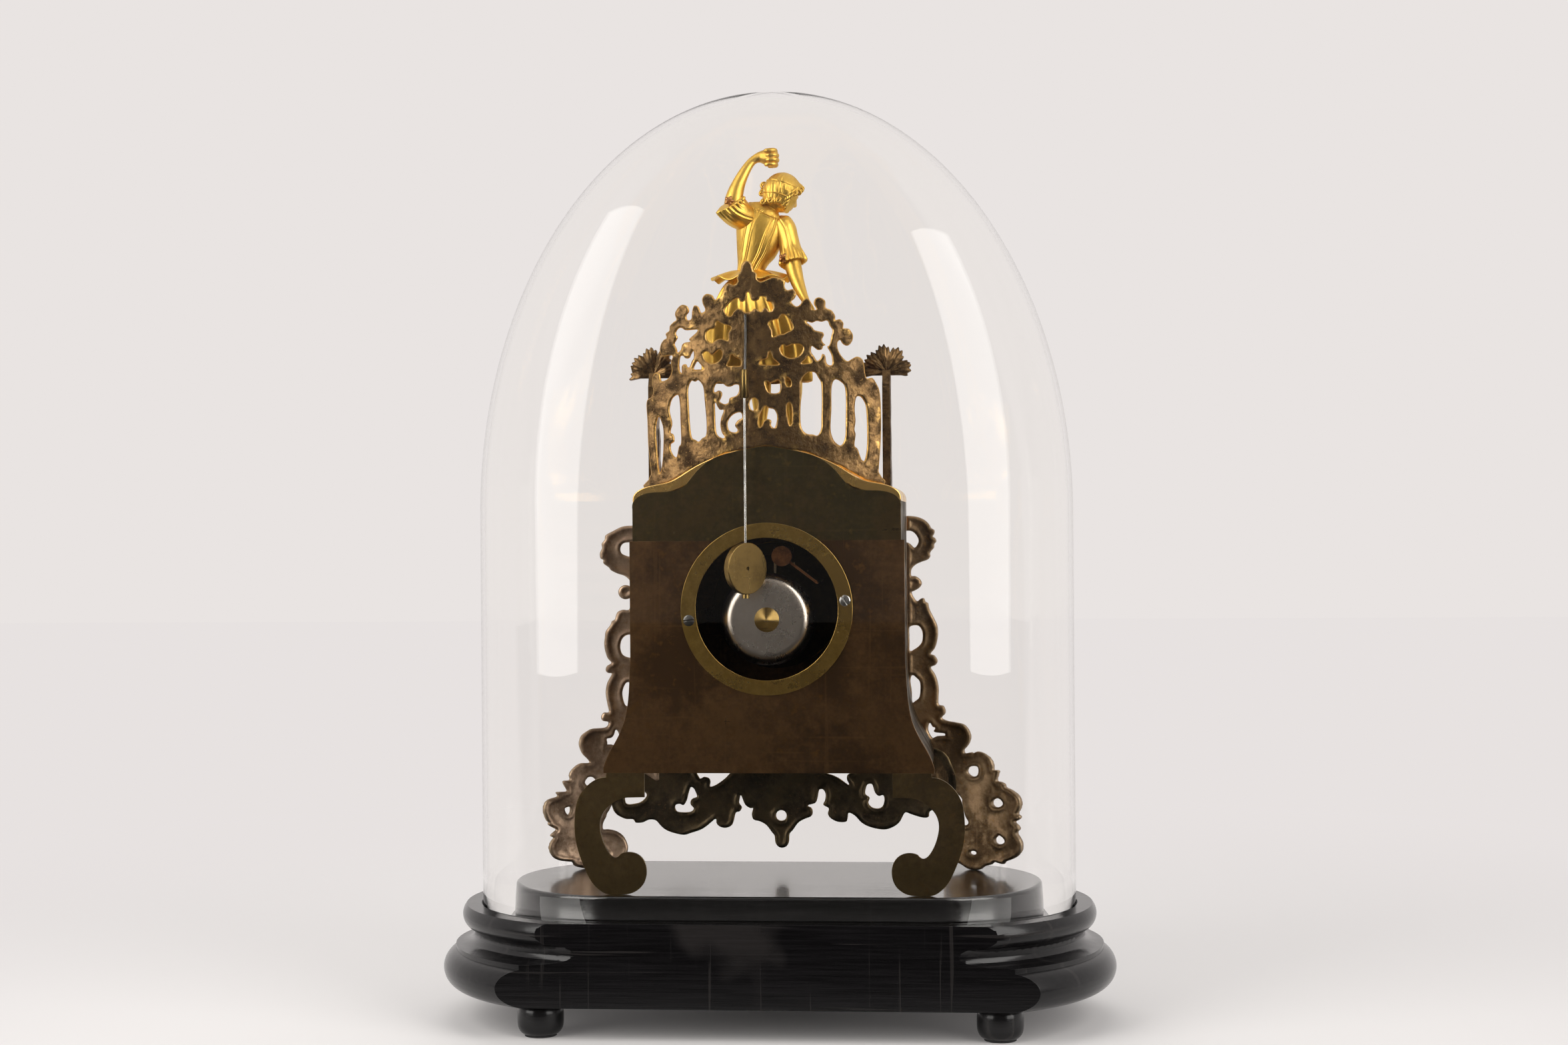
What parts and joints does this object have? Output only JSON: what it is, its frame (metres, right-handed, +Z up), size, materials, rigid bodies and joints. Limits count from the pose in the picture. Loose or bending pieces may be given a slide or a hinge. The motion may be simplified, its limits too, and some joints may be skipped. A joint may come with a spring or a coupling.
{
  "type": "mantel clock under glass dome",
  "caption": "Figural striking mantel clock on a dark oval plinth under a glass dome, open at the back, with its pendulum hung on the gallery behind the figure.",
  "frame": {"origin": "centre of the foot pads' undersides, under the middle of the plinth", "axes": "+Z up, -Y is the dial side, +Y the open back, X along the plinth"},
  "size_m": [0.4368, 0.198, 0.5994],
  "materials": {
    "ebonised_wood": "glossy ebonised",
    "felt": "matte",
    "glass": "clear",
    "bronze_sheet": "dark toned, worn satin",
    "gilt_roof": "bright gilt",
    "leg_brass": "satin, scratched",
    "rough_bronze": "rough cast",
    "bright_gilt": "matte gilt",
    "ring_brass": "turned satin",
    "steel": "polished",
    "movement_brass": "satin",
    "bell_metal": "turned, silvery bronze",
    "stand_steel": "satin",
    "enamel": "white enamel",
    "hand_gilt": "blued and gilt",
    "pendulum_brass": "satin"
  },
  "bodies": {
    "clock_on_plinth": {"plinth": "ebonised_wood", "platform": "ebonised_wood", "bun_feet": "ebonised_wood", "foot_pads": "felt", "back_plate": "bronze_sheet", "back_cap": "bronze_sheet", "roof": "gilt_roof", "left_side_plate": "bronze_sheet", "right_side_plate": "bronze_sheet", "bottom_plate": "bronze_sheet", "left_rear_leg": "leg_brass", "right_rear_leg": "leg_brass", "front_plate": "bronze_sheet", "apron": "rough_bronze", "left_corner_leaf": "rough_bronze", "right_corner_leaf": "rough_bronze", "left_side_scroll": "rough_bronze", "right_side_scroll": "rough_bronze", "front_ornament": "bright_gilt", "gallery": "rough_bronze", "gallery_consoles": "rough_bronze", "figure_legs": "bright_gilt", "figure_skirt": "bright_gilt", "figure_bodice": "bright_gilt", "figure_head": "bright_gilt", "figure_raised_arm": "bright_gilt", "figure_lowered_arm": "bright_gilt", "rear_ring": "ring_brass", "ring_screws": "steel", "movement_straps": "ring_brass", "front_movement_plate": "movement_brass", "rear_movement_plate": "movement_brass", "movement_pillars": "movement_brass", "back_cock": "movement_brass", "bell": "bell_metal", "bell_stand": "stand_steel", "bell_nut": "movement_brass", "dial_seat": "ring_brass", "dial": "enamel", "bezel": "ring_brass"},
    "glass_dome_body": {"glass_dome": "glass"},
    "minute_hand_body": {"cannon_pinion": "movement_brass", "minute_hand": "hand_gilt"},
    "motion_wheel_body": {"motion_work_wheel": "movement_brass"},
    "hour_hand_body": {"hour_wheel": "movement_brass", "hour_hand": "hand_gilt"},
    "third_wheel_body": {"third_wheel": "movement_brass"},
    "centre_arbor_body": {"centre_arbor": "movement_brass"},
    "going_barrel_body": {"going_barrel": "movement_brass"},
    "escape_wheel_body": {"escape_wheel": "movement_brass"},
    "pin_wheel_body": {"pin_wheel": "movement_brass"},
    "second_wheel_body": {"second_wheel": "movement_brass"},
    "strike_barrel_body": {"strike_barrel": "movement_brass"},
    "fly_body": {"fly": "movement_brass"},
    "going_winding_body": {"going_winding_arbor": "steel"},
    "strike_winding_body": {"strike_winding_arbor": "steel"},
    "anchor_body": {"anchor": "steel"},
    "hammer_body": {"hammer": "movement_brass"},
    "pendulum_body": {"pendulum_rod": "pendulum_brass", "pendulum_bob": "pendulum_brass"}
  },
  "joints": [
    {"name": "dome_lift", "type": "slide", "parent": "clock_on_plinth", "child": "glass_dome_body", "axis": [0, 0, 1], "range_m": [0, 0.55]},
    {"name": "minute_hand_spin", "type": "hinge", "parent": "clock_on_plinth", "child": "minute_hand_body", "pos_m": [0, 0, 0.2651], "axis": [0, 1, 0], "continuous": true},
    {"name": "motion_wheel_spin", "type": "hinge", "parent": "clock_on_plinth", "child": "motion_wheel_body", "pos_m": [0, 0, 0.2571], "axis": [0, 1, 0], "continuous": true},
    {"name": "hour_hand_spin", "type": "hinge", "parent": "clock_on_plinth", "child": "hour_hand_body", "pos_m": [0, 0, 0.2651], "axis": [0, 1, 0], "continuous": true},
    {"name": "third_wheel_spin", "type": "hinge", "parent": "clock_on_plinth", "child": "third_wheel_body", "pos_m": [0.00245, 0, 0.27897], "axis": [0, 1, 0], "continuous": true},
    {"name": "centre_arbor_spin", "type": "hinge", "parent": "clock_on_plinth", "child": "centre_arbor_body", "pos_m": [0, 0, 0.2651], "axis": [0, 1, 0], "continuous": true},
    {"name": "going_barrel_spin", "type": "hinge", "parent": "clock_on_plinth", "child": "going_barrel_body", "pos_m": [0.0187, 0, 0.25801], "axis": [0, 1, 0], "continuous": true},
    {"name": "escape_wheel_spin", "type": "hinge", "parent": "clock_on_plinth", "child": "escape_wheel_body", "pos_m": [0.00009, 0, 0.29004], "axis": [0, 1, 0], "continuous": true},
    {"name": "pin_wheel_spin", "type": "hinge", "parent": "clock_on_plinth", "child": "pin_wheel_body", "pos_m": [-0.02078, 0, 0.28733], "axis": [0, 1, 0], "continuous": true},
    {"name": "second_wheel_spin", "type": "hinge", "parent": "clock_on_plinth", "child": "second_wheel_body", "pos_m": [-0.01523, 0, 0.2777], "axis": [0, 1, 0], "continuous": true},
    {"name": "strike_barrel_spin", "type": "hinge", "parent": "clock_on_plinth", "child": "strike_barrel_body", "pos_m": [-0.0187, 0, 0.25801], "axis": [0, 1, 0], "continuous": true},
    {"name": "fly_spin", "type": "hinge", "parent": "clock_on_plinth", "child": "fly_body", "pos_m": [-0.01201, 0, 0.29239], "axis": [0, 1, 0], "continuous": true},
    {"name": "going_winding_spin", "type": "hinge", "parent": "clock_on_plinth", "child": "going_winding_body", "pos_m": [0.0187, 0, 0.25801], "axis": [0, 1, 0], "continuous": true},
    {"name": "strike_winding_spin", "type": "hinge", "parent": "clock_on_plinth", "child": "strike_winding_body", "pos_m": [-0.0187, 0, 0.25801], "axis": [0, 1, 0], "continuous": true},
    {"name": "anchor_rock", "type": "hinge", "parent": "clock_on_plinth", "child": "anchor_body", "pos_m": [0.00009, 0, 0.30134], "axis": [0, 1, 0], "range_deg": [-2.5, 2.5]},
    {"name": "hammer_lift", "type": "hinge", "parent": "clock_on_plinth", "child": "hammer_body", "pos_m": [-0.03, 0, 0.281], "axis": [0, 1, 0], "range_deg": [-14, 0]},
    {"name": "pendulum_swing", "type": "hinge", "parent": "clock_on_plinth", "child": "pendulum_body", "pos_m": [0.012, 0.065, 0.4486], "axis": [0, 1, 0], "range_deg": [-5, 5]}
  ],
  "couplings": [
    {"joint": "motion_wheel_spin", "follows": "minute_hand_spin", "ratio": -0.33333},
    {"joint": "hour_hand_spin", "follows": "minute_hand_spin", "ratio": 0.083333},
    {"joint": "centre_arbor_spin", "follows": "third_wheel_spin", "ratio": -0.083333},
    {"joint": "going_barrel_spin", "follows": "third_wheel_spin", "ratio": 0.011905},
    {"joint": "escape_wheel_spin", "follows": "third_wheel_spin", "ratio": -12.833},
    {"joint": "second_wheel_spin", "follows": "pin_wheel_spin", "ratio": -0.11111},
    {"joint": "strike_barrel_spin", "follows": "pin_wheel_spin", "ratio": 0.015873},
    {"joint": "fly_spin", "follows": "pin_wheel_spin", "ratio": -8}
  ]
}
